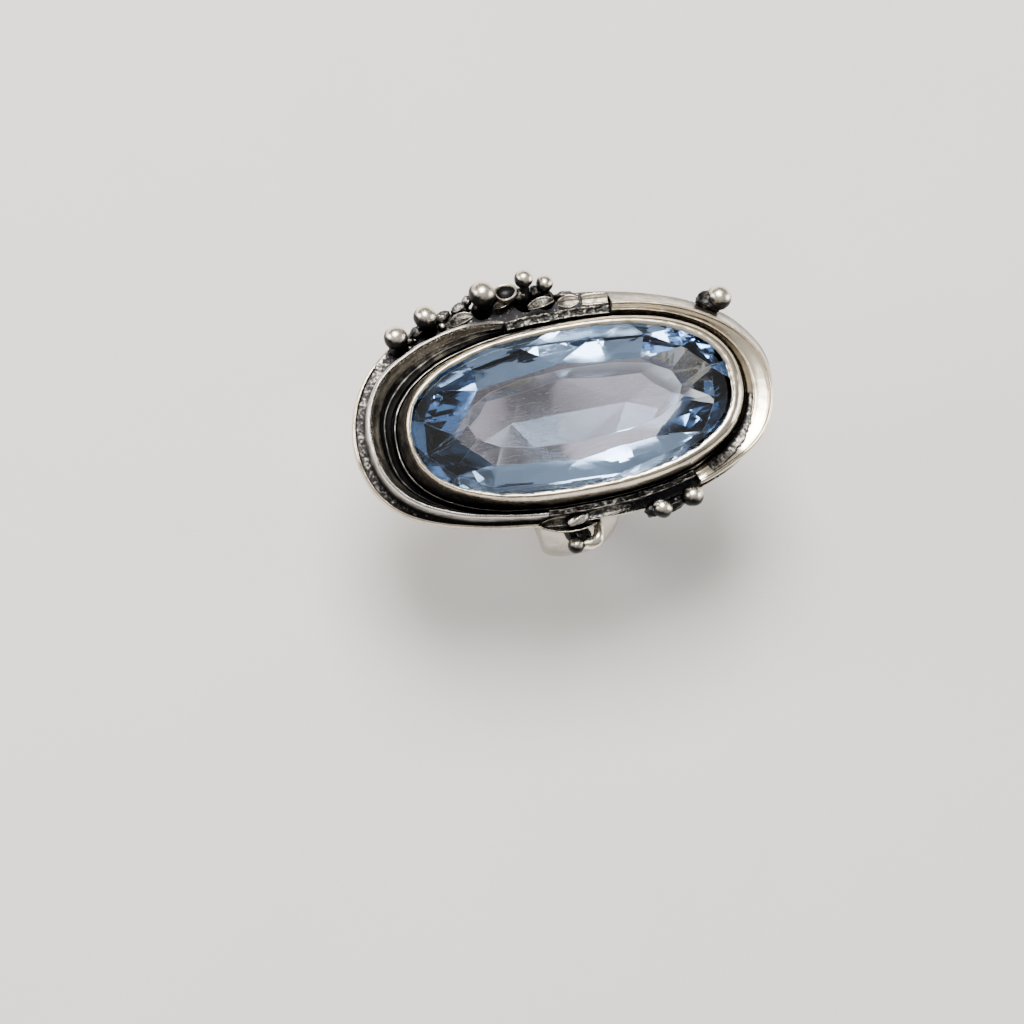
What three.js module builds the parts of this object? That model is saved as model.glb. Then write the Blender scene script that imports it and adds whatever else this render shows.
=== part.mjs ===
// A cocktail ring: a long faceted oval stone in a burnished bezel, on an open back plate with two wrapped
// collars, ball-ended wires, leaves and ribbed strips, over a tapered U-shaped band.
// Units are millimetres. The origin is the centre of the finger hole. +X runs along the finger and along the
// stone, +Z runs up through the stone, and -Y is the front. Every piece is its own closed solid.
import * as THREE from "three";

// ---- Driving dimensions ----
const HOLE_RADIUS = 9.1; // the finger hole, a US size 8
const BAND_THICKNESS = 1.6;
const BAND_WIDTH_BASE = 4.2;
const BAND_WIDTH_SHOULDER = 7.4;
const BAND_TURN_DEG = 28; // above the horizontal, where the round band turns up into the shoulders
const SHOULDER_Y = 7.4; // middle of each band end, under the bezel

const PLATE_UNDER = 8.0; // height of the back plate's underside above the hole's centre
const PLATE_THICKNESS = 0.9;
const PLATE_TOP = PLATE_UNDER + PLATE_THICKNESS;
const WINDOW = { a: 11.0, b: 4.4 }; // half-axes of the opening behind the stone

const GIRDLE = { a: 14.0, b: 6.9 }; // half-axes of the stone's widest outline
const SQUARENESS = 2.35; // the exponent of that outline: 2 is an ellipse, and more is squarer
const GIRDLE_LOW = 3.65; // above the plate
const GIRDLE_HIGH = 4.0;
const CROWN_HEIGHT = 2.1;
const TABLE = { a: 9.2, b: 3.1 };
const MAINS = 16; // kite facets round the crown
// Two rings of corners under the girdle. Every other corner is moved in and down, so that the facets differ.
const BREAK = { a: 12.3, b: 5.4, depth: 1.9, shiftA: 0.35, shiftB: 0.35, shiftDown: 0.15 };
const BASE = { a: 9.0, b: 2.9, depth: 3.75, shiftA: 0.9, shiftB: 0.36, shiftDown: 0.1 };
const KEEL = { half: 5.0, depth: 4.05 };

const WIRE_WIDTH = 0.25; // the gallery wire round the bezel's foot
const COLLAR_HEIGHT = 3.25;
const GAP = 0.05; // between pieces that are soldered or pressed together on curved faces
const STEP_DEG = 3.75; // spacing of the stations round the stone

// How far each outline stands outside the girdle, as [degrees round the stone, millimetres].
const BEZEL_FOOT = [[0, 1.0], [45, 0.84], [90, 0.72], [180, 0.62], [270, 0.6], [315, 0.76], [360, 1.0]];
const BEZEL_TOP = [
  [0, 0.9], [60, 0.64], [90, 0.5], [140, 0.38], [180, 0.32], [225, 0.36], [270, 0.45], [310, 0.62], [335, 0.84],
  [360, 0.9],
];
const PLATE_EDGE = [
  [0, 4.45], [8, 4.52], [22, 4.15], [42, 3.65], [70, 3.6], [95, 4.0], [120, 4.5], [150, 4.62], [165, 4.42],
  [182, 4.22], [200, 3.7], [220, 2.75], [235, 2.28], [258, 2.1], [285, 2.4], [308, 2.76], [330, 3.2], [345, 3.85],
  [360, 4.45],
];
const LEFT_RIM = [
  [98, 1.6], [108, 2.2], [118, 2.5], [136, 2.85], [155, 3.22], [172, 3.12], [190, 2.82], [205, 2.4], [222, 1.85],
  [243, 1.42], [262, 1.36],
];
const RIGHT_RIM = [
  [-56, 2.15], [-42, 2.5], [-31, 2.9], [-20, 3.28], [-5, 3.45], [6, 3.25], [14, 2.84], [24, 2.45], [36, 2.14],
  [50, 1.98], [62, 1.95], [75, 1.85],
];

// ---- Outlines round the stone ----
const radians = THREE.MathUtils.degToRad;
const mix = THREE.MathUtils.lerp;
const ease = (from, to, x) => THREE.MathUtils.smoothstep(x, from, to);

// A point of a squared ellipse with these half-axes.
function squared({ a, b }, degrees) {
  const swell = (x) => Math.sign(x) * Math.abs(x) ** (2 / SQUARENESS);
  return new THREE.Vector2(a * swell(Math.cos(radians(degrees))), b * swell(Math.sin(radians(degrees))));
}

// The girdle's outward direction at this angle.
function outward(degrees) {
  const p = squared(GIRDLE, degrees);
  const slope = (x, half) => (Math.sign(x) * Math.abs(x / half) ** (SQUARENESS - 1)) / half;
  return new THREE.Vector2(slope(p.x, GIRDLE.a), slope(p.y, GIRDLE.b)).normalize();
}

// The point of the girdle at this angle, moved outward by `out`.
const around = (degrees, out) => squared(GIRDLE, degrees).addScaledVector(outward(degrees), out);

// A point given as degrees round the stone, outward offset, and height above the plate.
function spot(degrees, out, height) {
  const p = around(degrees, out);
  return new THREE.Vector3(p.x, p.y, PLATE_TOP + height);
}

// A smooth value between the listed [degrees, value] knots: a Catmull-Rom spline through them.
function smooth(knots, degrees) {
  const next = Math.max(1, knots.findIndex(([d]) => d >= degrees));
  const before = knots[Math.max(0, next - 2)];
  const [[d0, v0], [d1, v1]] = [knots[next - 1], knots[next]];
  const after = knots[Math.min(knots.length - 1, next + 1)];
  const t = (degrees - d0) / (d1 - d0);
  const m0 = ((v1 - before[1]) / (d1 - before[0])) * (d1 - d0);
  const m1 = ((after[1] - v0) / (after[0] - d0)) * (d1 - d0);
  const [t2, t3] = [t * t, t * t * t];
  return (2 * t3 - 3 * t2 + 1) * v0 + (t3 - 2 * t2 + t) * m0 + (3 * t2 - 2 * t3) * v1 + (t3 - t2) * m1;
}

const wrapped = (degrees) => ((degrees % 360) + 360) % 360;
const plateEdge = (degrees) => smooth(PLATE_EDGE, wrapped(degrees));
const bezelFoot = (degrees) => smooth(BEZEL_FOOT, wrapped(degrees));
const wireOuter = (degrees) => bezelFoot(degrees) + GAP + WIRE_WIDTH;
const dishInner = (degrees) => wireOuter(degrees) + GAP;

// ---- Solids from rings of points ----
// Triangles that fill a flat outline, running the same way round as the outline does.
function cap(outline) {
  const triangles = THREE.ShapeUtils.triangulateShape(outline, []);
  return THREE.ShapeUtils.isClockWise(outline) ? triangles.map((t) => t.reverse()) : triangles;
}

// Joins rings of points into one closed surface. `flat` holds each open end's ring in two dimensions,
// for its cap.
function skin(rings, flat = null) {
  const size = rings[0].length;
  const positions = rings.flat().flatMap((p) => [p.x, p.y, p.z]);
  const index = [];
  const spans = flat ? rings.length - 1 : rings.length;
  for (let i = 0; i < spans; i++) {
    const here = i * size;
    const there = ((i + 1) % rings.length) * size;
    for (let j = 0; j < size; j++) {
      const k = (j + 1) % size;
      index.push(here + j, here + k, there + k, here + j, there + k, there + j);
    }
  }
  if (flat) {
    const last = (rings.length - 1) * size;
    for (const [a, b, c] of cap(flat[0])) index.push(a, c, b);
    for (const [a, b, c] of cap(flat[1])) index.push(last + a, last + b, last + c);
  }
  return facingOut(positions, index);
}

// An indexed geometry whose faces point out, whichever way round its rings were listed.
function facingOut(positions, index) {
  const at = (i) => new THREE.Vector3().fromArray(positions, 3 * i);
  let volume = 0;
  for (let i = 0; i < index.length; i += 3) volume += at(index[i]).dot(at(index[i + 1]).cross(at(index[i + 2])));
  if (volume < 0) index.reverse();
  const geometry = new THREE.BufferGeometry();
  geometry.setAttribute("position", new THREE.Float32BufferAttribute(positions, 3));
  geometry.setIndex(index);
  geometry.computeVertexNormals();
  return geometry;
}

// Sweeps a profile round the stone. profile(degrees) lists [outward offset, height above the plate] corners.
function sweep(profile, from = 0, to = 360) {
  const whole = to - from === 360;
  const count = Math.round((to - from) / STEP_DEG);
  const stations = Array.from({ length: whole ? count : count + 1 }, (_, i) => mix(from, to, i / count));
  const rings = stations.map((d) => profile(d).map(([out, height]) => spot(d, out, height)));
  const ends = [from, to].map((d) => profile(d).map(([out, height]) => new THREE.Vector2(out, height)));
  return skin(rings, whole ? null : ends);
}

// ---- The stone ----
const STEP_TURN = 360 / MAINS;
const corner = (half, step, z) => {
  const p = squared(half, step * STEP_TURN);
  return new THREE.Vector3(p.x, p.y, z);
};

// The crown's kites. Each one's plane holds its girdle corner, its table corner and the girdle's
// direction there.
// Neighbouring planes meet in a ridge, and this gives the point of each ridge at height zRidge.
function ridgePoints(zGirdle, zTable, zRidge) {
  const planes = Array.from({ length: MAINS }, (_, k) => {
    const foot = corner(GIRDLE, k, zGirdle);
    const out = outward(k * STEP_TURN);
    const normal = new THREE.Vector3(-out.y, out.x, 0).cross(corner(TABLE, k, zTable).sub(foot)).normalize();
    return { normal, offset: normal.dot(foot) };
  });
  return planes.map((p, k) => {
    const q = planes[(k + 1) % MAINS];
    const [c, d] = [p, q].map((plane) => plane.offset - plane.normal.z * zRidge);
    const det = p.normal.x * q.normal.y - p.normal.y * q.normal.x;
    const x = (c * q.normal.y - d * p.normal.y) / det;
    const y = (p.normal.x * d - q.normal.x * c) / det;
    return new THREE.Vector3(x, y, zRidge);
  });
}

function stoneGeometry() {
  const faces = [];
  const polygon = (...p) => p.slice(2).forEach((_, i) => faces.push([p[0], p[i + 1], p[i + 2]]));
  const [low, high] = [PLATE_TOP + GIRDLE_LOW, PLATE_TOP + GIRDLE_HIGH];
  const top = high + CROWN_HEIGHT;
  const ridge = ridgePoints(high, top, high + 0.5 * CROWN_HEIGHT);
  const upper = (step) => corner(GIRDLE, step, high);
  const lower = (step) => corner(GIRDLE, step, low);
  const table = (step) => corner(TABLE, step, top);
  const below = ({ a, b, depth, shiftA, shiftB, shiftDown }) => (step) => {
    const odd = Math.abs(Math.floor(step)) % 2;
    return corner({ a: a - odd * shiftA, b: b - odd * shiftB }, step, low - depth - odd * shiftDown);
  };
  const [broken, base] = [below(BREAK), below(BASE)];
  const keel = [1, -1].map((side) => new THREE.Vector3(side * KEEL.half, 0, low - KEEL.depth));
  for (let k = 0; k < MAINS; k++) {
    const before = ridge[(k + MAINS - 1) % MAINS];
    polygon(table(k), before, upper(k), ridge[k]); // kite
    polygon(table(k), ridge[k], table(k + 1)); // star
    polygon(upper(k), upper(k + 0.5), ridge[k]);
    polygon(upper(k + 0.5), upper(k + 1), ridge[k]);
    for (const step of [k, k + 0.5]) polygon(lower(step), lower(step + 0.5), upper(step + 0.5), upper(step));
    polygon(lower(k + 0.5), lower(k), broken(k + 0.5));
    polygon(lower(k + 1), lower(k + 0.5), broken(k + 0.5));
    polygon(lower(k + 1), broken(k + 0.5), broken(k + 1.5));
    polygon(broken(k + 0.5), broken(k - 0.5), base(k));
    polygon(broken(k + 0.5), base(k), base(k + 1));
    polygon(base(k + 1), base(k), k < MAINS / 4 || k >= (3 * MAINS) / 4 ? keel[0] : keel[1]);
  }
  polygon(...Array.from({ length: MAINS }, (_, k) => table(k)));
  polygon(base(MAINS / 4), keel[0], keel[1]);
  polygon(base((3 * MAINS) / 4), keel[1], keel[0]);
  const positions = faces.flat().flatMap((p) => [p.x, p.y, p.z]);
  return facingOut(positions, Array.from({ length: positions.length / 3 }, (_, i) => i));
}

// ---- Setting ----
// The plate is a flat ring between the plate's outline and the window.
function plateGeometry() {
  const rings = [];
  for (let d = 0; d < 360; d += STEP_DEG) {
    const outer = around(d, plateEdge(d));
    const inner = squared(WINDOW, d);
    const corners = [[outer, PLATE_UNDER], [outer, PLATE_TOP], [inner, PLATE_TOP], [inner, PLATE_UNDER]];
    rings.push(corners.map(([p, z]) => new THREE.Vector3(p.x, p.y, z)));
  }
  return skin(rings);
}

// The bezel's wall leans in towards the stone, and its rim is burnished over the crown.
function bezelProfile(d) {
  const foot = bezelFoot(d);
  const top = smooth(BEZEL_TOP, d);
  return [
    [foot, 0], [foot - 0.03, 1.7], [mix(foot, top, 0.6), 3.2], [top, 4.2], [top - 0.2, 4.55], [0.05, 4.6],
    [-0.28, 4.5], [-0.3, 4.34], [GAP, 4.16], [GAP, 0],
  ];
}

// A strip inside the bezel, cut to a seat that carries the stone just below its girdle.
const BEARING = { width: 0.6, high: 3.5, low: 2.85 };
const bearingProfile = () => [[0, 0], [0, BEARING.high], [-BEARING.width, BEARING.low], [-BEARING.width, 0]];

// A square wire bent round the bezel's foot, its top filed to a slope.
function galleryProfile(d) {
  const [inner, outer] = [bezelFoot(d) + GAP, wireOuter(d)];
  return [[inner, 0], [outer, 0], [outer, 1.15], [outer - 0.1, 1.5], [inner, 1.55]];
}

// A collar of thin sheet: an outer wall, a rolled rim, and a dish that falls to the gallery wire. It is hollow
// underneath. `rise` lowers it towards its ends, and shares across it run from the dish's inner edge to its rim.
const HOLLOW_HEIGHT = 1.7;
function collarProfile({ inner, rim, foot, rise, dish }) {
  const across = (share) => mix(inner, rim, share);
  const hollow = ease(0.75, 1.3, foot - inner) * 0.95 + 0.02;
  return [
    [foot, 0],
    [mix(foot, rim + 0.2, 0.5), 1.7 * rise],
    [rim + 0.18, 2.95 * rise],
    [rim, COLLAR_HEIGHT * rise],
    [rim - 0.2, 3.05 * rise],
    [across(0.62), dish[2] * rise],
    [across(0.3), dish[1] * rise],
    [inner, dish[0] * rise],
    [inner, 0],
    [mix(inner, foot, 0.22), 0],
    [mix(inner, foot, 0.24), (dish[0] - 0.5) * rise * hollow],
    [mix(inner, foot, 0.62), Math.min(HOLLOW_HEIGHT, dish[2] - 0.7) * rise * hollow],
    [mix(inner, foot, 0.72), 0],
  ];
}

const LEFT_SPAN = [102, 259];
const RIGHT_SPAN = [-52, 71.5];
const LEFT_DISH = [1.15, 1.3, 1.95]; // heights of the dish at its inner edge, a third out, and two thirds out
const RIGHT_DISH = [2.4, 2.65, 2.95];

const leftProfile = (d) => collarProfile({
  inner: dishInner(d),
  rim: smooth(LEFT_RIM, d),
  foot: smooth(LEFT_RIM, d) + 0.22,
  rise: mix(0.72, 1, ease(LEFT_SPAN[0], LEFT_SPAN[0] + 14, d))
    * mix(1, 0.8, ease(LEFT_SPAN[1] - 30, LEFT_SPAN[1], d)),
  dish: LEFT_DISH,
});

const rightRise = (d) => mix(0.45, 1, ease(RIGHT_SPAN[0], RIGHT_SPAN[0] + 22, d));
const rightProfile = (d) => collarProfile({
  inner: dishInner(d),
  rim: smooth(RIGHT_RIM, d),
  foot: plateEdge(d) - mix(0.35, 0.12, ease(RIGHT_SPAN[0], RIGHT_SPAN[0] + 22, d)),
  rise: rightRise(d),
  dish: RIGHT_DISH,
});

// A thin torn sheet laid over the right collar's dish. Its outer edge wanders in and out.
const TORN_SPAN = [-46, -6];
const TORN_EDGE = [[-46, 0.8], [-32, 0.58], [-20, 0.36], [-6, 0.2]]; // as a share of the way across the dish
const TORN_GAP = 0.08;
const TORN_THICKNESS = 0.3;
function tornProfile(d) {
  const across = (share) => mix(dishInner(d), smooth(RIGHT_RIM, d), share);
  const edge = smooth(TORN_EDGE, d) + 0.05 * Math.sin(radians(d * 37)) * Math.cos(radians(d * 11));
  const dishAt = (share) => (share < 0.3
    ? mix(RIGHT_DISH[0], RIGHT_DISH[1], share / 0.3)
    : mix(RIGHT_DISH[1], RIGHT_DISH[2], (share - 0.3) / 0.32)) * rightRise(d);
  const under = [0.04, 0.5 * (0.04 + edge), edge].map((s) => [across(s), dishAt(s) + TORN_GAP]);
  const over = under.map(([out, height]) => [out, height + TORN_THICKNESS]);
  return [...under, ...over.reverse()];
}

// A thin wire along the plate's left edge.
const BORDER_SPAN = [148, 257];
const BORDER_RADIUS = 0.19;
function borderProfile(d) {
  const middle = plateEdge(d) - BORDER_RADIUS - 0.01;
  return Array.from({ length: 8 }, (_, i) => {
    const turn = (i + 0.5) * (Math.PI / 4);
    const flatten = 1 / Math.cos(Math.PI / 8);
    const height = BORDER_RADIUS * (1 + Math.sin(turn) * flatten);
    return [middle + BORDER_RADIUS * Math.cos(turn), Math.max(0, height)];
  });
}

// The low ribbed walls that close the two gaps between the collars.
const ribProfile = (width, height) => (d) => [
  [0, 0], [0, height - 0.3], [0.12, height - 0.08], [0.32, height - 0.26], [0.55, height], [0.76, height - 0.16],
  [0.92, height - 0.04], [1, height - 0.35], [1, 0],
].map(([share, up]) => [dishInner(d) + share * width, up]);

// ---- Balls, leaves and the cup ----
// A wire whose end is melted into a ball. It stands on a flat foot, leans over along one bend, and its last
// stretch runs straight through the ball's middle.
const BALL_SIDES = 10;
const HANGING_DROP = 1.2; // how far a wire that starts under the plate dips before it turns outward
function ballWire({ foot, ball, radius, wire = 0.38, down = false }) {
  const start = spot(...foot);
  if (down) start.z = PLATE_UNDER;
  const centre = spot(...ball);
  const bend = start.clone().setZ(down ? start.z - HANGING_DROP : mix(start.z, centre.z, 0.55));
  const path = new THREE.QuadraticBezierCurve3(start, bend, centre);
  const flatWay = new THREE.Vector3(centre.x - start.x, centre.y - start.y, 0).normalize();
  const across = new THREE.Vector3(-flatWay.y, flatWay.x, 0);
  const neck = 1 - (0.96 * radius) / path.getLength();
  const rings = [];
  const ring = (p, way, r) => {
    const other = across.clone().cross(way);
    rings.push(Array.from({ length: BALL_SIDES }, (_, i) => {
      const turn = (2 * Math.PI * i) / BALL_SIDES;
      return p.clone().addScaledVector(across, r * Math.cos(turn)).addScaledVector(other, r * Math.sin(turn));
    }));
  };
  const way = path.getTangentAt(1);
  for (const share of [0, 0.35, 0.7, 1]) {
    ring(path.getPointAt(neck * share), path.getTangentAt(neck * share), wire);
  }
  for (const turn of [-56, -34, -10, 14, 38, 62, 82]) {
    const s = Math.sin(radians(turn));
    ring(centre.clone().addScaledVector(way, radius * s), way, radius * Math.cos(radians(turn)));
  }
  const circle = Array.from({ length: BALL_SIDES }, (_, i) => {
    const turn = (2 * Math.PI * i) / BALL_SIDES;
    return new THREE.Vector2(Math.cos(turn), Math.sin(turn));
  });
  return skin(rings, [circle, circle]);
}

// A ball of metal melted on to the surface below it, so that its foot is flat.
const FOOT_SHARE = 0.35; // of the ball's radius
function granule(radius) {
  const profile = [new THREE.Vector2(0, 0), new THREE.Vector2(FOOT_SHARE * radius, 0)];
  const low = -Math.acos(FOOT_SHARE);
  const lift = -radius * Math.sin(low);
  for (let i = 1; i < 7; i++) {
    const turn = mix(low, Math.PI / 2, i / 7);
    profile.push(new THREE.Vector2(radius * Math.cos(turn), lift + radius * Math.sin(turn)));
  }
  profile.push(new THREE.Vector2(0, lift + radius));
  return new THREE.LatheGeometry(profile, 12).rotateX(Math.PI / 2);
}

// A cupped leaf from root to tip, both given as for spot(). `roll` turns it about its own middle line.
function leaf({ root, tip, width, thickness = 0.35, cup = 0.2, arch = 0.3, roll = 0 }) {
  const [start, end] = [spot(...root), spot(...tip)];
  const along = end.clone().sub(start).normalize();
  const side = new THREE.Vector3(0, 0, 1).cross(along).normalize().applyAxisAngle(along, radians(roll));
  const up = along.clone().cross(side);
  const section = (t) => {
    const half = 0.5 * width * (0.12 + 0.88 * Math.sin(Math.PI * Math.min(1, t * 0.94 + 0.04)) ** 0.75);
    const lift = arch * Math.sin(Math.PI * t);
    const top = [-1, -0.5, 0, 0.5, 1].map((x) => [x * half, lift + cup * x * x]);
    const under = [0.9, 0.45, 0, -0.45, -0.9].map((x) => [x * half, lift + cup * x * x - thickness]);
    return [...top, ...under];
  };
  const shares = [0, 0.12, 0.28, 0.45, 0.62, 0.78, 0.92, 1];
  const rings = shares.map((t) => section(t).map(([x, z]) => start.clone().lerp(end, t)
    .addScaledVector(side, x).addScaledVector(up, z)));
  const ends = [0, 1].map((t) => section(t).map(([x, z]) => new THREE.Vector2(x, z)));
  return skin(rings, ends);
}

// A tiny bowl on a short stem.
function cupGeometry() {
  const points = [
    [0, 0], [0.36, 0], [0.34, 0.5], [0.7, 0.7], [0.95, 1.1], [1.0, 1.55], [0.82, 1.55], [0.72, 1.2], [0.45, 0.92],
    [0, 0.85],
  ];
  return new THREE.LatheGeometry(points.map(([r, z]) => new THREE.Vector2(r, z)), 14).rotateX(Math.PI / 2);
}

// ---- Band ----
// The band's middle line in the YZ plane: two thirds of a circle, then a bend up into each vertical
// shoulder.
function bandStations() {
  const radius = HOLE_RADIUS + BAND_THICKNESS / 2;
  const turn = radians(BAND_TURN_DEG);
  const leave = new THREE.Vector2(radius * Math.cos(turn), radius * Math.sin(turn));
  const rise = (leave.x - SHOULDER_Y) / Math.tan(turn);
  const bend = new THREE.QuadraticBezierCurve(
    leave,
    new THREE.Vector2(SHOULDER_Y, leave.y + rise),
    new THREE.Vector2(SHOULDER_Y, PLATE_UNDER),
  );
  const half = [];
  const arcSteps = 13;
  for (let i = 0; i < arcSteps; i++) {
    const angle = mix(-Math.PI / 2, turn, i / arcSteps);
    half.push({ at: new THREE.Vector2(Math.cos(angle), Math.sin(angle)).multiplyScalar(radius), angle });
  }
  for (const t of [0, 0.35, 0.7, 1]) {
    const way = bend.getTangent(t);
    half.push({ at: bend.getPoint(t), angle: Math.atan2(-way.x, way.y) });
  }
  const left = half.slice(1).reverse().map(({ at, angle }) => ({
    at: new THREE.Vector2(-at.x, at.y), angle: Math.PI - angle,
  }));
  return [...left, ...half];
}

function bandGeometry() {
  const t = BAND_THICKNESS / 2;
  const section = (width) => {
    const w = width / 2;
    return [
      [-w, 0.2 - t], [0.3 - w, -t], [w - 0.3, -t], [w, 0.2 - t], [w, t - 0.75],
      [0.72 * w, t - 0.28], [0.36 * w, t - 0.06], [-0.36 * w, t - 0.06], [-0.72 * w, t - 0.28], [-w, t - 0.75],
    ];
  };
  const widthAt = (p) => mix(BAND_WIDTH_BASE, BAND_WIDTH_SHOULDER, ease(-HOLE_RADIUS, PLATE_UNDER, p.y));
  const stations = bandStations();
  const rings = stations.map(({ at, angle }) => section(widthAt(at)).map(([x, out]) => new THREE.Vector3(
    x, at.x + out * Math.cos(angle), at.y + out * Math.sin(angle),
  )));
  const ends = [stations[0], stations.at(-1)].map(({ at }) => section(widthAt(at))
    .map(([x, z]) => new THREE.Vector2(x, z)));
  return skin(rings, ends);
}

// ---- Assembly ----
const polished = new THREE.MeshStandardMaterial({ color: 0xcdc6b8, roughness: 0.25, metalness: 1 });
const blackened = new THREE.MeshStandardMaterial({ color: 0x2e2d2c, roughness: 0.45, metalness: 1 });
const worn = new THREE.MeshStandardMaterial({ color: 0x8d8a83, roughness: 0.4, metalness: 1 });
const blueStone = new THREE.MeshStandardMaterial({
  color: 0x9dbcd8, roughness: 0.02, metalness: 0, transparent: true, opacity: 0.5,
});

const ring = new THREE.Group();
function add(name, geometry, material) {
  const mesh = new THREE.Mesh(geometry, material);
  mesh.name = name;
  ring.add(mesh);
  return mesh;
}

add("shank", bandGeometry(), polished);
add("back_plate", plateGeometry(), worn);
add("bearing_ring", sweep(bearingProfile), worn);
add("bezel_wall", sweep(bezelProfile), polished);
add("stone", stoneGeometry(), blueStone);
add("gallery_wire", sweep(galleryProfile), worn);
add("left_collar", sweep(leftProfile, ...LEFT_SPAN), blackened);
add("right_collar", sweep(rightProfile, ...RIGHT_SPAN), polished);
add("torn_overlay", sweep(tornProfile, ...TORN_SPAN), worn);
add("border_wire", sweep(borderProfile, ...BORDER_SPAN), polished);
add("rear_rib_strip", sweep(ribProfile(0.85, 2.3), 72.2, 101.5), worn);
add("front_rib_strip", sweep(ribProfile(0.55, 2.0), 259.6, 307), worn);

// Ball-ended wires, from the left end of the rear edge to its middle.
const REAR_BALLS = [
  { foot: [137.5, 4.0, 0], ball: [137.5, 4.72, 1.7], radius: 1.02 },
  { foot: [125.5, 4.0, 0], ball: [125.3, 4.78, 1.9], radius: 1.0 },
  { foot: [106, 3.75, 0], ball: [105.6, 4.75, 1.95], radius: 1.15 },
  { foot: [93.5, 3.5, 0], ball: [93.6, 5.1, 2.25], radius: 0.8 },
  { foot: [89.2, 3.4, 0], ball: [89.2, 4.5, 1.55], radius: 0.74 },
];
REAR_BALLS.forEach((b, i) => add(`rear_ball_wire_${i + 1}`, ballWire(b), polished));

// Two ball-ended wires that come out from under the plate, over the front shoulder.
const FRONT_BALLS = [
  { foot: [265.3, 1.78, 0], ball: [267.2, 4.0, -1.4], radius: 0.64, wire: 0.3, down: true },
  { foot: [272, 1.78, 0], ball: [271.0, 3.78, -0.6], radius: 0.78, wire: 0.3, down: true },
];
FRONT_BALLS.forEach((b, i) => add(`front_ball_wire_${i + 1}`, ballWire(b), polished));

// Granules on the plate: two beside the right collar's end, and three seeds behind the left collar.
const GRANULES = [ // [name, degrees, out, radius]
  ["front_granule_1", 291.4, 2.85, 0.88],
  ["front_granule_2", 303, 2.95, 0.95],
  ["seed_granule_1", 131.6, 3.8, 0.36],
  ["seed_granule_2", 134.8, 3.44, 0.3],
  ["seed_granule_3", 120.5, 3.6, 0.38],
];
for (const [name, degrees, out, radius] of GRANULES) {
  add(name, granule(radius), polished).position.copy(spot(degrees, out, 0));
}

// One larger granule on the right collar's outer slope.
const SLOPE_BALL = { degrees: 32.5, out: 4.42, height: 1.6, radius: 1.1 };
const onSlope = add("slope_granule", new THREE.SphereGeometry(SLOPE_BALL.radius, 16, 10), polished);
onSlope.position.copy(spot(SLOPE_BALL.degrees, SLOPE_BALL.out, SLOPE_BALL.height));

// Leaves and plates of sheet, between the ball wires and the collars.
const LEAVES = [
  ["rear_leaf_1", worn, { root: [118.5, 3.3, 0.7], tip: [110.3, 3.3, 1.5], width: 1.1, cup: 0.18, roll: -20 }],
  ["rear_leaf_2", worn, { root: [93.6, 2.72, 1.3], tip: [88, 2.95, 1.8], width: 0.9, cup: 0.12, roll: -12 }],
  ["rear_leaf_3", polished, {
    root: [87.2, 2.62, 1.7], tip: [81.3, 2.55, 2.15], width: 1.1, cup: 0.05, arch: 0.12,
  }],
  ["rear_leaf_4", polished, {
    root: [80.6, 2.5, 2.0], tip: [72.6, 2.48, 2.25], width: 0.95, cup: 0.05, arch: 0.1,
  }],
  ["front_leaf", worn, {
    root: [257.5, 2.3, 0.42], tip: [271.5, 2.4, 0.5], width: 1.3, cup: 0.5, arch: -0.05,
  }],
];
for (const [name, material, shape] of LEAVES) add(name, leaf(shape), material);

const cup = add("blossom_cup", cupGeometry(), worn);
cup.position.copy(spot(98.3, 3.6, 0.32));
cup.rotation.set(radians(-36), radians(-6), 0);

export default ring;
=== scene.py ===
"""Visual model of a cocktail ring: a long faceted blue stone in a burnished bezel, with two wrapped
collars, ball-ended wires, leaves and ribbed strips in oxidised silver. The frame is the CAD part's: the
origin is the centre of the finger hole, +X runs along the finger, +Z up through the stone and -Y is the
front. Lengths here are millimetres until a mesh is made, and then metres."""
import math

import bmesh
import bpy
from mathutils import Matrix, Quaternion, Vector, noise


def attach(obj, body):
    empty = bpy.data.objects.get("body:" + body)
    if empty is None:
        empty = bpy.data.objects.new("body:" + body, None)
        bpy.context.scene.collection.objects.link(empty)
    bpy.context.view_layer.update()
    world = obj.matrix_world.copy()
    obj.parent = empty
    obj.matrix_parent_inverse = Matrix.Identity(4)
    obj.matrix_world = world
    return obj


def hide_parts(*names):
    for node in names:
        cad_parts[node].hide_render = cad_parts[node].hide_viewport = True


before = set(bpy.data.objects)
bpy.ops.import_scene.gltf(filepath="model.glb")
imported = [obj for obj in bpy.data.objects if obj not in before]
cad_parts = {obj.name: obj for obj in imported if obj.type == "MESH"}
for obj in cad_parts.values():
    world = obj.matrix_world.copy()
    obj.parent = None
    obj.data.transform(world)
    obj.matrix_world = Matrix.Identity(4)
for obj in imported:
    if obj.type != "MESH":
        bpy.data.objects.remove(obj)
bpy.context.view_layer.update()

MM = 0.001

# ---- Sizes shared with the CAD part, in millimetres ----
HOLE_RADIUS = 9.1
BAND_THICKNESS = 1.6
BAND_WIDTH_BASE = 4.2
BAND_WIDTH_SHOULDER = 7.4
BAND_TURN = math.radians(28)
SHOULDER_Y = 7.4
PLATE_UNDER = 8.0
PLATE_TOP = 8.9
WINDOW = (11.0, 4.4)
GIRDLE = (14.0, 6.9)
SQUARENESS = 2.35
WIRE_WIDTH = 0.25
COLLAR_HEIGHT = 3.25
LEFT_SPAN = (102, 259)
RIGHT_SPAN = (-52, 71.5)
LEFT_DISH = (1.15, 1.3, 1.95)  # heights of the dish at its inner edge, a third out, and two thirds out
RIGHT_DISH = (2.4, 2.65, 2.95)
HOLLOW_HEIGHT = 1.7
STRIP_WIDTHS = (0.85, 0.55)
LEAF_THICKNESS = 0.35

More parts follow.
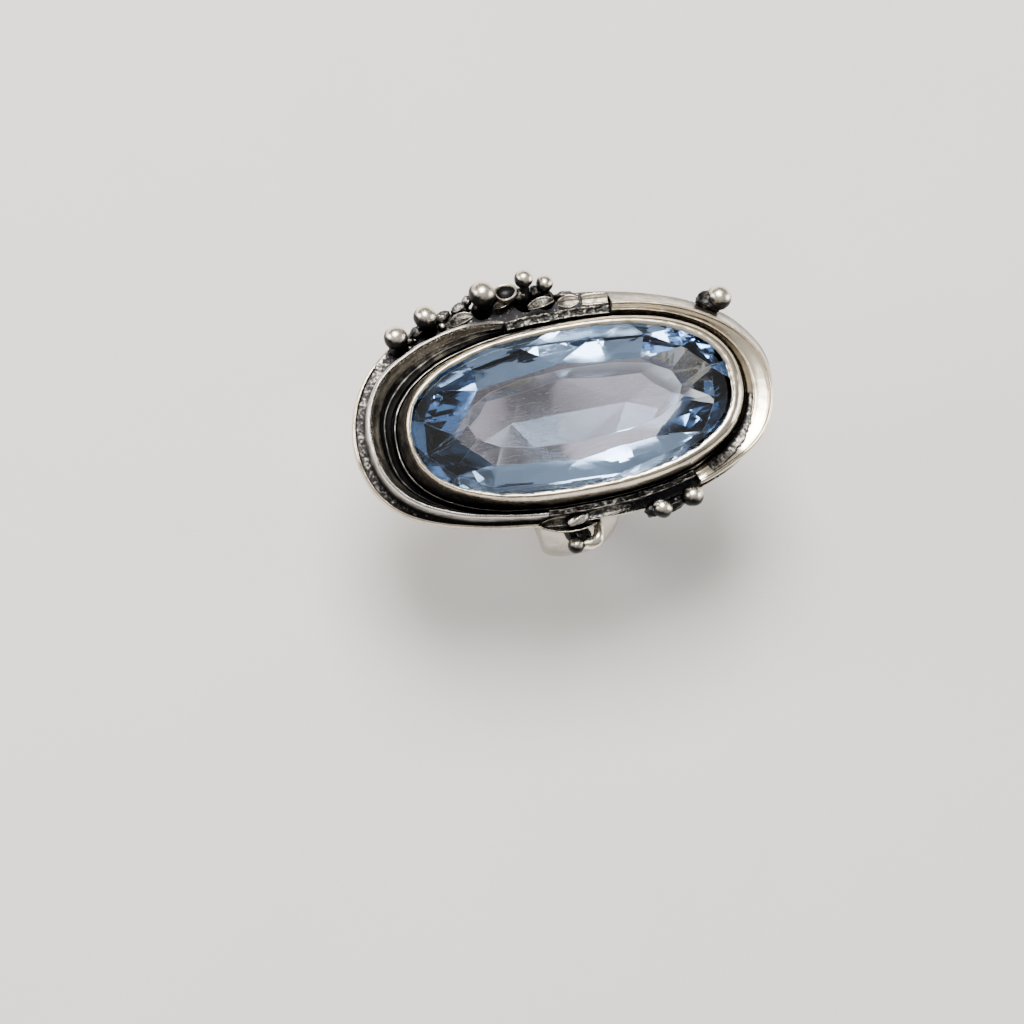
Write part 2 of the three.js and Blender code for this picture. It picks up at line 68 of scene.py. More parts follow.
# How far each outline stands outside the girdle, as (degrees round the stone, millimetres).
BEZEL_FOOT = [(0, 1.0), (45, 0.84), (90, 0.72), (180, 0.62), (270, 0.6), (315, 0.76), (360, 1.0)]
BEZEL_TOP = [
    (0, 0.9), (60, 0.64), (90, 0.5), (140, 0.38), (180, 0.32), (225, 0.36), (270, 0.45), (310, 0.62),
    (335, 0.84), (360, 0.9),
]
PLATE_EDGE = [
    (0, 4.45), (8, 4.52), (22, 4.15), (42, 3.65), (70, 3.6), (95, 4.0), (120, 4.5), (150, 4.62), (165, 4.42),
    (182, 4.22), (200, 3.7), (220, 2.75), (235, 2.28), (258, 2.1), (285, 2.4), (308, 2.76), (330, 3.2),
    (345, 3.85), (360, 4.45),
]
LEFT_RIM = [
    (98, 1.6), (108, 2.2), (118, 2.5), (136, 2.85), (155, 3.22), (172, 3.12), (190, 2.82), (205, 2.4),
    (222, 1.85), (243, 1.42), (262, 1.36),
]
RIGHT_RIM = [
    (-56, 2.15), (-42, 2.5), (-31, 2.9), (-20, 3.28), (-5, 3.45), (6, 3.25), (14, 2.84), (24, 2.45),
    (36, 2.14), (50, 1.98), (62, 1.95), (75, 1.85),
]
TORN_SPAN = (-46, -6)
TORN_EDGE = [(-46, 0.8), (-32, 0.58), (-20, 0.36), (-6, 0.2)]  # as a share of the way across the dish
BEZEL_LEVEL = [  # 1 where the rim is broad and level, and 0 where it is a thin edge above a sloping wall
    (0, 1.0), (60, 1.0), (90, 0.9), (125, 0.7), (150, 0.25), (180, 0.0), (225, 0.05), (250, 0.5), (290, 0.85),
    (330, 1.0), (360, 1.0),
]


# ---- Small helpers ----
def mix(a, b, t):
    return a + (b - a) * t


def ease(low, high, x):
    t = min(1.0, max(0.0, (x - low) / (high - low)))
    return t * t * (3 - 2 * t)


def squared(half, degrees):
    """A point of a squared ellipse with these half-axes."""
    c, s = math.cos(math.radians(degrees)), math.sin(math.radians(degrees))
    power = 2 / SQUARENESS
    return Vector((half[0] * math.copysign(abs(c) ** power, c), half[1] * math.copysign(abs(s) ** power, s)))


def around(degrees, out):
    """The point of the girdle at this angle, moved outward along its normal."""
    p = squared(GIRDLE, degrees)
    power = SQUARENESS - 1
    a, b = GIRDLE
    normal = Vector((
        math.copysign(abs(p.x / a) ** power, p.x) / a,
        math.copysign(abs(p.y / b) ** power, p.y) / b,
    ))
    return p + out * normal.normalized()


def spot(degrees, out, height):
    """A point given as degrees round the stone, outward offset and height above the plate."""
    p = around(degrees, out)
    return Vector((p.x, p.y, PLATE_TOP + height))


def smooth(knots, degrees):
    """A smooth value between (degrees, value) knots: a Catmull-Rom spline through them."""
    k = 1
    while k < len(knots) - 1 and degrees > knots[k][0]:
        k += 1
    before = knots[max(0, k - 2)]
    (d0, v0), (d1, v1) = knots[k - 1], knots[k]
    after = knots[min(len(knots) - 1, k + 1)]
    t = min(1.0, max(0.0, (degrees - d0) / (d1 - d0)))
    m0 = (v1 - before[1]) / max(1e-6, d1 - before[0]) * (d1 - d0)
    m1 = (after[1] - v0) / max(1e-6, after[0] - d0) * (d1 - d0)
    t2, t3 = t * t, t * t * t
    return (2 * t3 - 3 * t2 + 1) * v0 + (t3 - 2 * t2 + t) * m0 + (3 * t2 - 2 * t3) * v1 + (t3 - t2) * m1


def plate_edge(degrees):
    return smooth(PLATE_EDGE, degrees % 360)


def bezel_foot(degrees):
    return smooth(BEZEL_FOOT, degrees % 360)


def dish_inner(degrees):
    return bezel_foot(degrees) + WIRE_WIDTH + 0.1


def waver(p, size, seed=0.0):
    """Smooth noise from -1 to 1, for a hand-made surface. size is the width of its bumps in millimetres."""
    return noise.noise(Vector((p[0] / size + seed, p[1] / size - seed, p[2] / size + 3.1 * seed)))


def rounded(points, rounds):
    """Chaikin corner cutting on a closed outline of tuples."""
    for _ in range(rounds):
        cut = []
        for i, p in enumerate(points):
            q = points[(i + 1) % len(points)]
            cut.append(tuple(0.75 * a + 0.25 * b for a, b in zip(p, q)))
            cut.append(tuple(0.25 * a + 0.75 * b for a, b in zip(p, q)))
        points = cut
    return points


# ---- Mesh making ----
def make_object(name, verts, faces, polish, material, nodes=()):
    """A new piece from millimetre points. polish runs from 0, blackened, to 1, polished, for each vertex; on
    balls it also holds painted light and shade.
    """
    mesh = bpy.data.meshes.new(name)
    mesh.from_pydata([tuple(MM * c for c in v) for v in verts], [], faces)
    mesh.validate()
    mesh.attributes.new("polish", "FLOAT", "POINT").data.foreach_set("value", polish)
    mesh.materials.append(material)
    mesh.polygons.foreach_set("use_smooth", [True] * len(mesh.polygons))
    mesh.update()
    piece = bpy.data.objects.new(name, mesh)
    bpy.context.scene.collection.objects.link(piece)
    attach(piece, "root")
    if nodes:
        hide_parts(*nodes)
    return piece


def side_faces(rings, closed):
    """The four-sided faces between each ring of points and the next."""
    size = len(rings[0])
    faces = []
    for i in range(len(rings) if closed else len(rings) - 1):
        here, there = i * size, (i + 1) % len(rings) * size
        for j in range(size):
            k = (j + 1) % size
            faces.append((here + j, here + k, there + k, there + j))
    return faces


def skin(name, rings, polish, material, nodes=(), closed=False):
    """Joins rings of points into one closed surface. Open ends are capped by a fan to their middle."""
    size = len(rings[0])
    verts = [p for ring in rings for p in ring]
    values = [v for ring in polish for v in ring]
    faces = side_faces(rings, closed)
    if not closed:
        for ring, base in ((rings[0], 0), (rings[-1], (len(rings) - 1) * size)):
            middle = sum((Vector(p) for p in ring), Vector()) / size
            verts.append(middle)
            values.append(values[base])
            last = len(verts) - 1
            for j in range(size):
                k = (j + 1) % size
                faces.append((base + k, base + j, last) if base == 0 else (base + j, base + k, last))
    # Turn every face over if the surface was listed inside out.
    volume = 0.0
    for f in faces:
        a = Vector(verts[f[0]])
        for b, c in zip(f[1:-1], f[2:]):
            volume += a.dot(Vector(verts[b]).cross(Vector(verts[c])))
    if volume < 0:
        faces = [tuple(reversed(f)) for f in faces]
    return make_object(name, verts, faces, values, material, nodes)


def flat_capped(name, rings, polish, material, nodes=()):
    """As skin, but each end is one flat many-sided face, for profiles that aren't star-shaped."""
    size = len(rings[0])
    verts = [p for ring in rings for p in ring]
    values = [v for ring in polish for v in ring]
    faces = side_faces(rings, False)
    faces.append(tuple(reversed(range(size))))
    faces.append(tuple(range(len(verts) - size, len(verts))))
    turn_out(make_object(name, verts, faces, values, material, nodes))


def turn_out(piece):
    """Splits the end caps into triangles and makes every face point outward."""
    bm = bmesh.new()
    bm.from_mesh(piece.data)
    bmesh.ops.triangulate(bm, faces=[f for f in bm.faces if len(f.verts) > 4])
    bmesh.ops.recalc_face_normals(bm, faces=bm.faces)
    bm.to_mesh(piece.data)
    bm.free()


def sweep(name, profile, material, nodes=(), span=(0, 360), step=1.0, rounds=2, texture=0.012):
    """Sweeps a closed profile round the stone. profile(degrees) lists its corners, each an outward offset,
    a height and a polish. The surface wavers by `texture` millimetres, so that it looks worked by hand."""
    whole = span[1] - span[0] == 360
    count = int(round((span[1] - span[0]) / step))
    rings, polish = [], []
    for i in range(count if whole else count + 1):
        d = mix(span[0], span[1], i / count)
        ring, values = [], []
        for out, height, shine in rounded(profile(d), rounds):
            p = spot(d, out, height)
            lift = texture * (waver(p, 1.9, 3.0) + 0.6 * waver(p, 0.7, 9.0))
            if height > 0.03:
                q = spot(d, out + lift, height + lift)
            else:
                q = p
            ring.append(q)
            values.append(shine)
        rings.append(ring)
        polish.append(values)
    if whole:
        skin(name, rings, polish, material, nodes, closed=True)
    else:
        flat_capped(name, rings, polish, material, nodes)


def tube(name, path, radius, material, nodes=(), sides=28, shine=None, texture=0.02, seed=1.0):
    """A closed round form along a path of points, with a radius and a polish value for each point."""
    rings, polish = [], []
    side = None
    for i, p in enumerate(path):
        ahead = path[min(len(path) - 1, i + 1)]
        behind = path[max(0, i - 1)]
        way = (ahead - behind).normalized()
        if side is None:
            side = way.orthogonal().normalized()
        side = (side - side.dot(way) * way).normalized()
        other = way.cross(side)
        ring = []
        for k in range(sides):
            turn = 2 * math.pi * k / sides
            direction = math.cos(turn) * side + math.sin(turn) * other
            r = radius[i] + texture * waver(p + radius[i] * direction, 0.8, seed) * min(1, radius[i] / 0.3)
            ring.append(p + r * direction)
        rings.append(ring)
        value = 1.0 if shine is None else shine[i]
        polish.append([value] * sides)
    return skin(name, rings, polish, material, nodes)


# ---- Materials ----
def add_node(nodes, kind, **settings):
    node = nodes.new(kind)
    for key, value in settings.items():
        if key.startswith("in_"):
            node.inputs[key[3:].replace("_", " ")].default_value = value
        else:
            setattr(node, key, value)
    return node


def silver(name, bright, dark, rough_bright, rough_dark, grain=0.35, pits=0.3, dirt=1.0, speckle=0.3,
           tarnish_and_reflection=0.5):
    """Oxidised silver. The polish attribute and how open the place is decide how much black is left; on balls
    the polish also holds painted light and shade.
    """
    material = bpy.data.materials.new(name)
    material.use_nodes = True
    nodes, links = material.node_tree.nodes, material.node_tree.links
    shader = nodes["Principled BSDF"]
    shader.inputs["Metallic"].default_value = 1.0

    place = add_node(nodes, "ShaderNodeTexCoord")
    blotch = add_node(nodes, "ShaderNodeTexNoise", in_Scale=900.0, in_Detail=5.0, in_Roughness=0.6)
    fine = add_node(nodes, "ShaderNodeTexNoise", in_Scale=4200.0, in_Detail=4.0, in_Roughness=0.65)
    links.new(place.outputs["Object"], blotch.inputs["Vector"])
    links.new(place.outputs["Object"], fine.inputs["Vector"])

    polish = add_node(nodes, "ShaderNodeAttribute", attribute_name="polish")
    openness = add_node(nodes, "ShaderNodeAmbientOcclusion", samples=6, in_Distance=0.0011)
    open_range = add_node(nodes, "ShaderNodeMapRange", interpolation_type="SMOOTHSTEP")
    open_range.inputs["From Min"].default_value = 0.30
    open_range.inputs["From Max"].default_value = 0.78
    open_range.inputs["To Min"].default_value = 1.0 - dirt
    links.new(openness.outputs["AO"], open_range.inputs["Value"])
    cleaned = add_node(nodes, "ShaderNodeMath", operation="MULTIPLY")
    links.new(polish.outputs["Fac"], cleaned.inputs[0])
    links.new(open_range.outputs["Result"], cleaned.inputs[1])

    spread = add_node(nodes, "ShaderNodeMath", operation="MULTIPLY_ADD")
    spread.inputs[1].default_value = 0.9
    spread.inputs[2].default_value = -0.45
    links.new(blotch.outputs["Fac"], spread.inputs[0])
    uneven = add_node(nodes, "ShaderNodeMath", operation="ADD")
    links.new(cleaned.outputs[0], uneven.inputs[0])
    links.new(spread.outputs[0], uneven.inputs[1])
    specks = add_node(nodes, "ShaderNodeMath", operation="MULTIPLY_ADD")
    specks.inputs[1].default_value = speckle
    links.new(fine.outputs["Fac"], specks.inputs[0])
    level = add_node(nodes, "ShaderNodeMath", operation="SUBTRACT")
    level.inputs[1].default_value = 0.5 * speckle
    links.new(uneven.outputs[0], level.inputs[0])
    links.new(level.outputs[0], specks.inputs[2])
    mask = add_node(nodes, "ShaderNodeMapRange", interpolation_type="SMOOTHSTEP")
    mask.inputs["From Min"].default_value = 0.18
    mask.inputs["From Max"].default_value = 0.9
    links.new(specks.outputs[0], mask.inputs["Value"])

    # Thin clouds of grey-brown lie over the bright metal: partly tarnish, partly a painted reflection of warm
    # skin.
    cloud = add_node(nodes, "ShaderNodeTexNoise", in_Scale=420.0, in_Detail=4.0, in_Roughness=0.62)
    links.new(place.outputs["Object"], cloud.inputs["Vector"])
    thick = add_node(nodes, "ShaderNodeMapRange", interpolation_type="SMOOTHSTEP")
    thick.inputs["From Min"].default_value = 0.42
    thick.inputs["From Max"].default_value = 0.72
    thick.inputs["To Max"].default_value = tarnish_and_reflection
    links.new(cloud.outputs["Fac"], thick.inputs["Value"])
    clean = add_node(nodes, "ShaderNodeMix", data_type="RGBA")
    clean.inputs["A"].default_value = (*bright, 1)
    clean.inputs["B"].default_value = (*TARNISH_AND_REFLECTION, 1)
    links.new(thick.outputs["Result"], clean.inputs["Factor"])

    tint = add_node(nodes, "ShaderNodeMix", data_type="RGBA")
    tint.inputs["A"].default_value = (*dark, 1)
    links.new(clean.outputs["Result"], tint.inputs["B"])
    links.new(mask.outputs["Result"], tint.inputs["Factor"])
    links.new(tint.outputs["Result"], shader.inputs["Base Color"])

    rough = add_node(nodes, "ShaderNodeMapRange")
    rough.inputs["To Min"].default_value = rough_dark
    rough.inputs["To Max"].default_value = rough_bright
    links.new(mask.outputs["Result"], rough.inputs["Value"])
    smear = add_node(nodes, "ShaderNodeMath", operation="MULTIPLY_ADD")
    smear.inputs[1].default_value = 0.22
    links.new(fine.outputs["Fac"], smear.inputs[0])
    shift = add_node(nodes, "ShaderNodeMath", operation="SUBTRACT")
    shift.inputs[1].default_value = 0.11
    links.new(rough.outputs["Result"], shift.inputs[0])
    links.new(shift.outputs[0], smear.inputs[2])
    links.new(smear.outputs[0], shader.inputs["Roughness"])

    # Fine scratches run one way, like the marks of a polishing cloth.
    stretch = add_node(nodes, "ShaderNodeMapping")
    stretch.inputs["Scale"].default_value = (1.0, 6.0, 6.0)
    stretch.inputs["Rotation"].default_value = (0.0, 0.0, 0.5)
    scratch = add_node(nodes, "ShaderNodeTexNoise", in_Scale=2600.0, in_Detail=6.0, in_Roughness=0.7)
    links.new(place.outputs["Object"], stretch.inputs["Vector"])
    links.new(stretch.outputs["Vector"], scratch.inputs["Vector"])
    first = add_node(nodes, "ShaderNodeBump", in_Strength=grain, in_Distance=0.00002)
    links.new(scratch.outputs["Fac"], first.inputs["Height"])
    second = add_node(nodes, "ShaderNodeBump", in_Strength=pits, in_Distance=0.00005)
    links.new(blotch.outputs["Fac"], second.inputs["Height"])
    links.new(first.outputs["Normal"], second.inputs["Normal"])
    links.new(second.outputs["Normal"], shader.inputs["Normal"])
    return material


def stone_material():
    """Pale blue stone: clear, with fine scratches, rubbed ridges and a slightly hazy underside, its lowest
    facets tinted dark mauve as painted shade.
    """
    material = bpy.data.materials.new("pale_blue_stone")
    material.use_nodes = True
    nodes, links = material.node_tree.nodes, material.node_tree.links
    shader = nodes["Principled BSDF"]
    shader.inputs["Transmission Weight"].default_value = 1.0
    shader.inputs["IOR"].default_value = 1.72
    place = add_node(nodes, "ShaderNodeTexCoord")

    # 1 on the lowest facets, and 0 on the rest.
    split = add_node(nodes, "ShaderNodeSeparateXYZ")
    links.new(place.outputs["Object"], split.inputs["Vector"])
    under = add_node(nodes, "ShaderNodeMapRange", interpolation_type="SMOOTHSTEP")
    under.inputs["From Min"].default_value = MM * (PLATE_TOP + 0.75)
    under.inputs["From Max"].default_value = MM * (PLATE_TOP - 0.05)
    links.new(split.outputs["Z"], under.inputs["Value"])

    stretch = add_node(nodes, "ShaderNodeMapping")
    stretch.inputs["Scale"].default_value = (1.0, 9.0, 1.0)
    stretch.inputs["Rotation"].default_value = (0.0, 0.0, 0.7)
    links.new(place.outputs["Object"], stretch.inputs["Vector"])
    streak = add_node(nodes, "ShaderNodeTexNoise", in_Scale=210.0, in_Detail=3.0, in_Roughness=0.6)
    links.new(stretch.outputs["Vector"], streak.inputs["Vector"])
    centred = add_node(nodes, "ShaderNodeMath", operation="SUBTRACT")
    centred.inputs[1].default_value = 0.5
    links.new(streak.outputs["Fac"], centred.inputs[0])
    away = add_node(nodes, "ShaderNodeMath", operation="ABSOLUTE")
    links.new(centred.outputs[0], away.inputs[0])
    scratch = add_node(nodes, "ShaderNodeMapRange")
    scratch.inputs["From Min"].default_value = 0.006
    scratch.inputs["From Max"].default_value = 0.0
    scratch.inputs["To Max"].default_value = 0.2
    links.new(away.outputs[0], scratch.inputs["Value"])
    haze = add_node(nodes, "ShaderNodeMath", operation="MULTIPLY_ADD")
    haze.inputs[1].default_value = 0.2
    links.new(under.outputs["Result"], haze.inputs[0])
    links.new(scratch.outputs["Result"], haze.inputs[2])

    # The ridges between facets are rubbed: there the softened normal differs from the flat one.
    soft = add_node(nodes, "ShaderNodeBevel", samples=4, in_Radius=0.00007)
    flat = add_node(nodes, "ShaderNodeNewGeometry")
    agree = add_node(nodes, "ShaderNodeVectorMath", operation="DOT_PRODUCT")
    links.new(soft.outputs["Normal"], agree.inputs[0])
    links.new(flat.outputs["True Normal"], agree.inputs[1])
    rubbed = add_node(nodes, "ShaderNodeMapRange")
    rubbed.inputs["From Min"].default_value = 0.9995
    rubbed.inputs["From Max"].default_value = 0.985
    rubbed.inputs["To Max"].default_value = 0.45
    links.new(agree.outputs["Value"], rubbed.inputs["Value"])
    worst = add_node(nodes, "ShaderNodeMath", operation="MAXIMUM")
    links.new(haze.outputs[0], worst.inputs[0])
    links.new(rubbed.outputs["Result"], worst.inputs[1])
    links.new(worst.outputs[0], shader.inputs["Roughness"])

    # The lowest facets are tinted dark mauve: painted shade, standing for shaded skin seen through the stone.
    tint = add_node(nodes, "ShaderNodeMix", data_type="RGBA")
    tint.inputs["A"].default_value = (0.94, 0.97, 1.0, 1)
    tint.inputs["B"].default_value = (0.285, 0.212, 0.242, 1)
    links.new(under.outputs["Result"], tint.inputs["Factor"])
    links.new(tint.outputs["Result"], shader.inputs["Base Color"])

    # The body colour deepens with the length of the light's way through the stone.
    body = add_node(nodes, "ShaderNodeVolumeAbsorption")
    body.inputs["Color"].default_value = (0.12, 0.50, 0.92, 1)
    body.inputs["Density"].default_value = 55.0
    links.new(body.outputs["Volume"], nodes["Material Output"].inputs["Volume"])
    return material


# The warm cream of the bright colours and the grey-brown of the tarnish clouds are partly the metal's tone
# and tarnish, partly a painted reflection of warm skin.
SILVER = (0.88, 0.77, 0.61)
TARNISH_AND_REFLECTION = (0.35, 0.325, 0.285)
BLACK = (0.03, 0.029, 0.031)
polished = silver("polished_silver", SILVER, BLACK, 0.20, 0.40, tarnish_and_reflection=0.7)
blackened = silver("blackened_silver", (0.60, 0.58, 0.55), (0.02, 0.02, 0.022), 0.28, 0.36, pits=0.35,
                   tarnish_and_reflection=0.2)
worn = silver("worn_silver", (0.66, 0.62, 0.55), (0.03, 0.03, 0.032), 0.30, 0.45, grain=0.5, pits=0.7,
              speckle=1.5)
# The flange's warm cream is partly a painted reflection of warm skin.
flange_silver = silver("flange_silver", (0.94, 0.83, 0.66), (0.10, 0.09, 0.08), 0.22, 0.36, grain=0.3,
                       pits=0.2, dirt=0.25, tarnish_and_reflection=0.3)
band_silver = silver("band_silver", (0.52, 0.48, 0.42), BLACK, 0.25, 0.4, grain=0.4, pits=0.15, dirt=0.9,
                     tarnish_and_reflection=0.85)
ball_silver = silver("ball_silver", (0.92, 0.84, 0.70), (0.025, 0.024, 0.026), 0.26, 0.42, grain=0.5,
                     pits=0.5, speckle=0.6, tarnish_and_reflection=0.3)
plate_silver = silver("plate_silver", (0.66, 0.61, 0.53), (0.02, 0.02, 0.022), 0.28, 0.42, grain=0.5,
                      pits=0.8, speckle=2.4)
gem = stone_material()

# ---- Band ----
def band_stations():
    """Points and outward angles of the band's middle line in the YZ plane, from shoulder to shoulder."""
    radius = HOLE_RADIUS + BAND_THICKNESS / 2
    leave = Vector((radius * math.cos(BAND_TURN), radius * math.sin(BAND_TURN)))
    corner = Vector((SHOULDER_Y, leave.y + (leave.x - SHOULDER_Y) / math.tan(BAND_TURN)))
    end = Vector((SHOULDER_Y, PLATE_UNDER))
    half = []
    arc_steps, bend_steps = 80, 24
    for i in range(arc_steps):
        angle = mix(-math.pi / 2, BAND_TURN, i / arc_steps)
        half.append((radius * Vector((math.cos(angle), math.sin(angle))), angle))
    for i in range(bend_steps + 1):
        t = i / bend_steps
        p = (1 - t) ** 2 * leave + 2 * t * (1 - t) * corner + t * t * end
        way = 2 * (1 - t) * (corner - leave) + 2 * t * (end - corner)
        half.append((p, math.atan2(-way.x, way.y)))
    left = [(Vector((-p.x, p.y)), math.pi - a) for p, a in reversed(half[1:])]
    return left + half


def build_band():
    t = BAND_THICKNESS / 2
    rings, polish = [], []
    for p, angle in band_stations():
        w = mix(BAND_WIDTH_BASE, BAND_WIDTH_SHOULDER, ease(-HOLE_RADIUS, PLATE_UNDER, p.y)) / 2
        section = [
            (-w, 0.25 - t, 0.9), (0.35 - w, -t, 0.9), (0, -t, 0.85), (w - 0.35, -t, 0.9), (w, 0.25 - t, 0.9),
            (w, t - 0.8, 0.95), (0.8 * w, t - 0.36, 1.0), (0.4 * w, t - 0.05, 1.0), (0, t, 1.0),
            (-0.4 * w, t - 0.05, 1.0), (-0.8 * w, t - 0.36, 1.0), (-w, t - 0.8, 0.95),
        ]
        ring, values = [], []
        for x, out, shine in rounded(section, 2):
            reach = out + (0.03 * waver((x, p.x, p.y), 2.6, 5.0) if p.y < PLATE_UNDER - 0.2 else 0)
            reach = min(reach, t)
            z = min(PLATE_UNDER, p.y + reach * math.sin(angle))
            ring.append(Vector((x, p.x + reach * math.cos(angle), z)))
            near_plate = ease(PLATE_UNDER - 2.2, PLATE_UNDER, z)
            values.append(mix(shine, 0.35, near_plate))
        rings.append(ring)
        polish.append(values)
    skin("band", rings, polish, band_silver, ["shank"])


# ---- Plate and setting ----
def build_plate():
    thickness = PLATE_TOP - PLATE_UNDER
    rings, polish = [], []
    for i in range(720):
        d = i / 2
        edge = plate_edge(d) + 0.05 * waver(around(d, 3.0).to_3d(), 2.2, 4.0) - 0.05
        outer = around(d, edge)
        inner = squared(WINDOW, d)
        corners = []
        across = [(0.0, 0.10), (0.04, 0.0), (0.3, 0.0), (0.6, 0.0), (0.9, 0.0), (0.97, 0.02), (1.0, 0.14)]
        granular = ease(138, 152, d) * (1 - ease(250, 262, d))
        channel = mix(0.0, 0.26, granular)
        shine = [0.5, 0.3, 0.0, 0.6 * channel, channel, mix(0.2, 0.5, granular), 1.0]
        for (share, drop), s in zip(across, shine):
            corners.append((share, PLATE_TOP - drop, s))
        for (share, drop), s in zip(reversed(across), reversed([0.7, 0.75, 0.8, 0.8, 0.8, 0.85, 1.0])):
            corners.append((share, PLATE_UNDER + drop, s))
        ring, values = [], []
        for share, z, s in rounded(corners, 1):
            p = inner.lerp(outer, share)
            pit = 0.0
            if 0.1 < share < 0.985 and z > PLATE_TOP - 0.05:
                pit = 0.07 * max(0.0, waver((p.x, p.y, 0), 0.28, 2.0)) + 0.03 * waver((p.x, p.y, 0), 0.6, 7.0)
            ring.append(Vector((p.x, p.y, min(PLATE_TOP, max(PLATE_UNDER, z - max(0.0, pit))))))
            values.append(s)
        rings.append(ring)
        polish.append(values)
    skin("plate", rings, polish, plate_silver, ["back_plate"], closed=True)


def bezel_profile(degrees):
    """The wall leans in, and its rim is pressed over the stone and wanders a little against it."""
    p = around(degrees, 0).to_3d()
    lap = -0.3 + 0.07 * waver(p, 1.4, 1.0) + 0.06 * waver(p, 0.45, 6.0)
    fat = 0.04 * waver(p, 3.0, 8.0)
    foot = bezel_foot(degrees)
    top = smooth(BEZEL_TOP, degrees % 360) + fat
    level = smooth(BEZEL_LEVEL, degrees % 360)
    return [
        (foot, 0, 0.0), (foot - 0.01, 1.0, 0.1), (foot - 0.03, 1.8, mix(0.2, 0.3, level)),
        (mix(foot, top, 0.5), mix(2.5, 2.8, level), mix(0.3, 0.5, level)),
        (top, mix(3.3, 3.9, level), mix(0.36, 0.65, level)),
        (mix(top, 0.1, 0.3), mix(3.75, 4.32, level), mix(0.38, 0.95, level)),
        (mix(top, 0.1, 0.75), mix(4.25, 4.56, level), mix(0.6, 1.0, level)),
        (0.02, 4.6, 1.0), (lap + 0.1, 4.55, 1.0), (lap, 4.46, 0.75), (lap + 0.04, 4.34, 0.1),
        (0.06, 4.12, 0.0), (0.06, 3.0, 0.0), (0.06, 0, 0.0),
    ]


def bearing_profile(degrees):
    return [(0, 0, 0.1), (0, 2.0, 0.1), (0, 3.5, 0.1), (-0.6, 2.85, 0.2), (-0.6, 1.4, 0.15), (-0.6, 0, 0.3)]


def gallery_profile(degrees):
    p = around(degrees, 1).to_3d()
    top = 1.42 + 0.12 * waver(p, 1.1, 2.0)
    inner = bezel_foot(degrees) + 0.04
    outer = inner + WIRE_WIDTH + 0.02
    return [
        (inner, 0, 0), (outer, 0, 0), (outer, 0.7, 0.0), (outer, top - 0.3, 0.3), (outer - 0.06, top, 0.8),
        (outer - 0.17, top + 0.08, 0.8), (inner + 0.01, top - 0.12, 0.1), (inner, 0.7, 0.0),
    ]


def build_setting():
    sweep("bezel", bezel_profile, polished, ["bezel_wall"], step=0.5, texture=0.02)
    sweep("seat", bearing_profile, blackened, ["bearing_ring"], rounds=1, texture=0.01)
    sweep("gallery", gallery_profile, worn, ["gallery_wire"], step=0.5, texture=0.03)


# ---- Collars ----
def collar(inner, rim, foot, rise, dish, shine):
    """A collar's profile. dish holds the heights of the dish, and shine the polish of each part."""
    def across(share):
        return mix(inner, rim, share)

    hollow = ease(0.75, 1.3, foot - inner) * 0.95 + 0.02
    lip = min(shine["lip_width"], 0.42 * (rim - inner))
    return [
        (foot, 0, 0.05),
        (mix(foot, rim + 0.2, 0.3), 0.9 * rise, shine["low_wall"]),
        (mix(foot, rim + 0.2, 0.7), 2.0 * rise, shine["wall"]),
        (rim + 0.2, 2.85 * rise, shine["wall"]),
        (rim + 0.15, 3.12 * rise, 1.0),
        (rim, COLLAR_HEIGHT * rise, 1.0),
        (rim - 0.12, 3.2 * rise, 1.0),
        (rim - 0.45 * lip, mix(3.1, dish[2], 0.4) * rise, shine["lip"]),
        (rim - lip, mix(3.1, dish[2], 0.75) * rise, shine["ridge"]),
        (rim - lip - 0.1, mix(3.1, dish[2], 1.0) * rise, shine["outer"]),
        (across(0.5), mix(dish[1], dish[2], 0.55) * rise, shine["middle"]),
        (across(shine["crease"] + 0.05), (mix(dish[1], dish[2], 0.2) - 0.02) * rise, shine["inner"]),
        (across(shine["crease"]), (mix(dish[1], dish[2], 0.14) + 0.07) * rise, shine["streak"]),
        (across(shine["crease"] - 0.05), (mix(dish[1], dish[2], 0.06) - 0.02) * rise, shine["inner"]),
        (across(0.15), mix(dish[0], dish[1], 0.5) * rise, shine["inner"]),
        (inner + 0.05, dish[0] * rise, shine["inner"]),
        (inner + 0.02, 0, 0.0),
        (mix(inner, foot, 0.22), 0, 0.0),
        (mix(inner, foot, 0.24), (dish[0] - 0.5) * rise * hollow, 0.0),
        (mix(inner, foot, 0.62), min(HOLLOW_HEIGHT, dish[2] - 0.7) * rise * hollow, 0.0),
        (mix(inner, foot, 0.72), 0, 0.0),
    ]


def left_profile(degrees):
    p = around(degrees, 2).to_3d()
    rim = smooth(LEFT_RIM, degrees) + 0.03 * waver(p, 2.5, 3.0)
    rise = mix(0.72, 1, ease(LEFT_SPAN[0], LEFT_SPAN[0] + 14, degrees))
    rise *= mix(1, 0.8, ease(LEFT_SPAN[1] - 30, LEFT_SPAN[1], degrees))
    upper = 1 - ease(125, 165, degrees)
    shine = {
        "lip_width": 1.0, "low_wall": 0.1, "wall": 0.5, "lip": mix(0.34, 0.75, upper),
        "ridge": mix(0.7, 0.9, upper), "outer": mix(0.1, 0.75, upper), "middle": mix(0.05, 0.62, upper),
        "inner": mix(0.02, 0.35, upper), "streak": mix(0.5, 0.4, upper),
        "crease": 0.32 + 0.07 * waver(p, 4.0, 2.0),
    }
    return collar(dish_inner(degrees), rim, rim + 0.22, rise, LEFT_DISH, shine)


def right_rise(degrees):
    return mix(0.45, 1, ease(RIGHT_SPAN[0], RIGHT_SPAN[0] + 22, degrees))


def right_profile(degrees):
    rim = smooth(RIGHT_RIM, degrees)
    grow = ease(RIGHT_SPAN[0], RIGHT_SPAN[0] + 22, degrees)
    foot = plate_edge(degrees) - mix(0.35, 0.12, grow)
    shine = {
        "lip_width": 0.3, "low_wall": 0.3, "wall": 0.6, "lip": 1.0, "ridge": 1.0, "outer": 1.0, "middle": 1.0,
        "inner": 0.9, "streak": 0.9, "crease": 0.3,
    }
    return collar(dish_inner(degrees), rim, foot, right_rise(degrees), RIGHT_DISH, shine)


